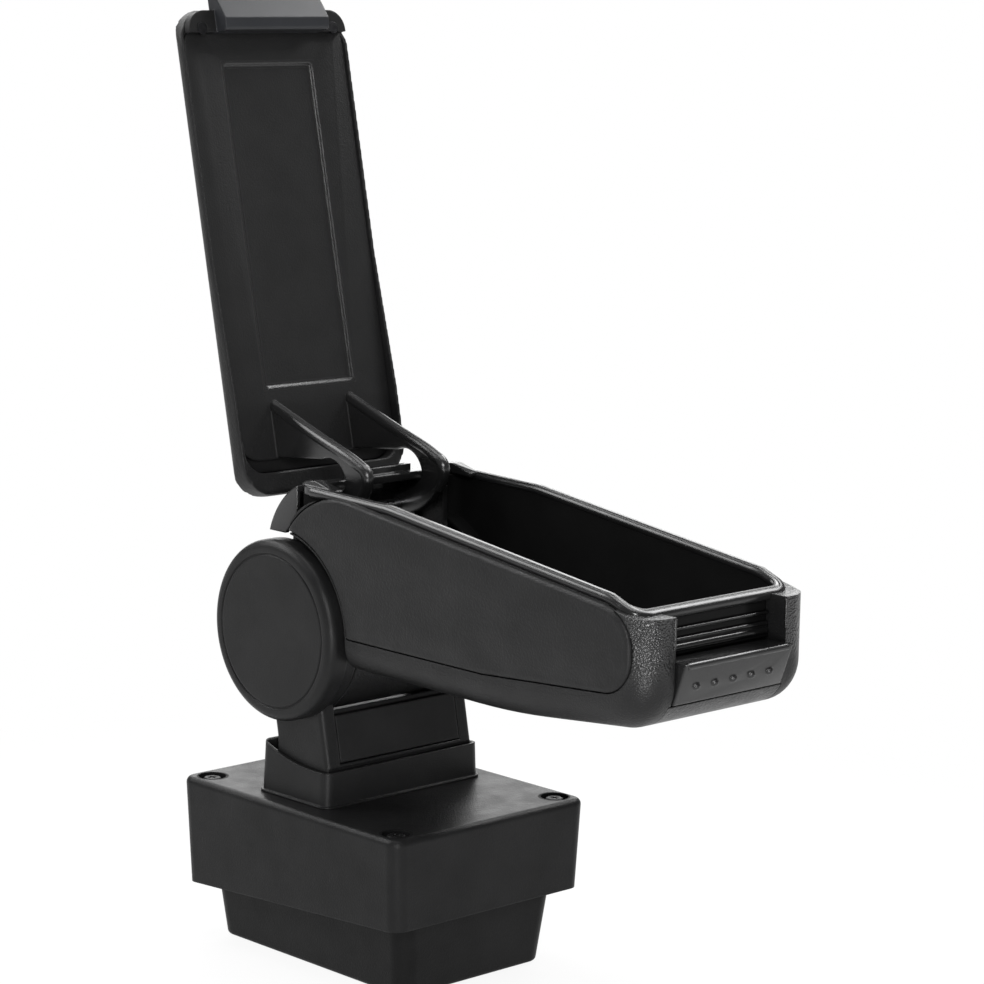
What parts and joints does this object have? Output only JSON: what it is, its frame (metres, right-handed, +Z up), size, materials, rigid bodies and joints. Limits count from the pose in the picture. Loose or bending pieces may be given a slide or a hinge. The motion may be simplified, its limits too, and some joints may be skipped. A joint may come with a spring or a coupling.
{
  "type": "car centre armrest",
  "caption": "Car centre armrest: plug-in base with a leaning pedestal, a tilting storage box with padded cheeks and a release button, and a hinged padded lid shown open.",
  "frame": {"origin": "middle of the base plug's flat underside", "axes": "+Z up, X across the car, -Y towards the front of the car, so the storage box reaches out along -Y"},
  "size_m": [0.1272, 0.3491, 0.4754],
  "materials": {
    "black_plastic": "fine matte grain",
    "satin_plastic": "satin",
    "vinyl": "leather grain",
    "grey_plastic": "satin",
    "steel": "zinc plated",
    "bearing_plastic": "plain"
  },
  "bodies": {
    "base": {"base_plug": "black_plastic", "base_cover": "black_plastic", "base_screws": "steel", "pedestal_column": "black_plastic", "column_front_panel": "black_plastic", "column_rear_panel": "black_plastic", "foot_plate": "steel", "foot_screws": "steel", "pedestal_collar": "black_plastic", "pivot_cap_left": "satin_plastic", "pivot_cap_right": "satin_plastic", "tilt_axle": "steel", "axle_nut": "steel", "axle_washers": "steel", "friction_washers": "bearing_plastic"},
    "arm": {"arm_shell": "black_plastic", "front_lip": "black_plastic", "cheek_left": "vinyl", "cheek_right": "vinyl", "storage_liner": "satin_plastic", "liner_screws": "steel", "rear_cover": "satin_plastic", "hinge_pin": "steel", "cover_screws": "steel", "tilt_bushes": "bearing_plastic", "catch_plate": "satin_plastic"},
    "button": {"release_button": "black_plastic", "button_springs": "steel"},
    "lid": {"lid_cushion": "vinyl", "lid_board": "black_plastic", "lid_panel": "satin_plastic", "lid_nose": "grey_plastic", "lid_screws": "steel"}
  },
  "joints": [
    {"name": "arm_tilt", "type": "hinge", "parent": "base", "child": "arm", "pos_m": [0, 0.0163, 0.1678], "axis": [-1, 0, 0], "range_deg": [0, 90]},
    {"name": "lid_hinge", "type": "hinge", "parent": "arm", "child": "lid", "pos_m": [0, 0.016, 0.2224], "axis": [1, 0, 0], "range_deg": [0, 110.2]},
    {"name": "button_press", "type": "slide", "parent": "arm", "child": "button", "axis": [0, 1, 0], "range_m": [0, 0.003], "stiffness_N_per_m": 900, "deforming": ["button_springs"]}
  ]
}
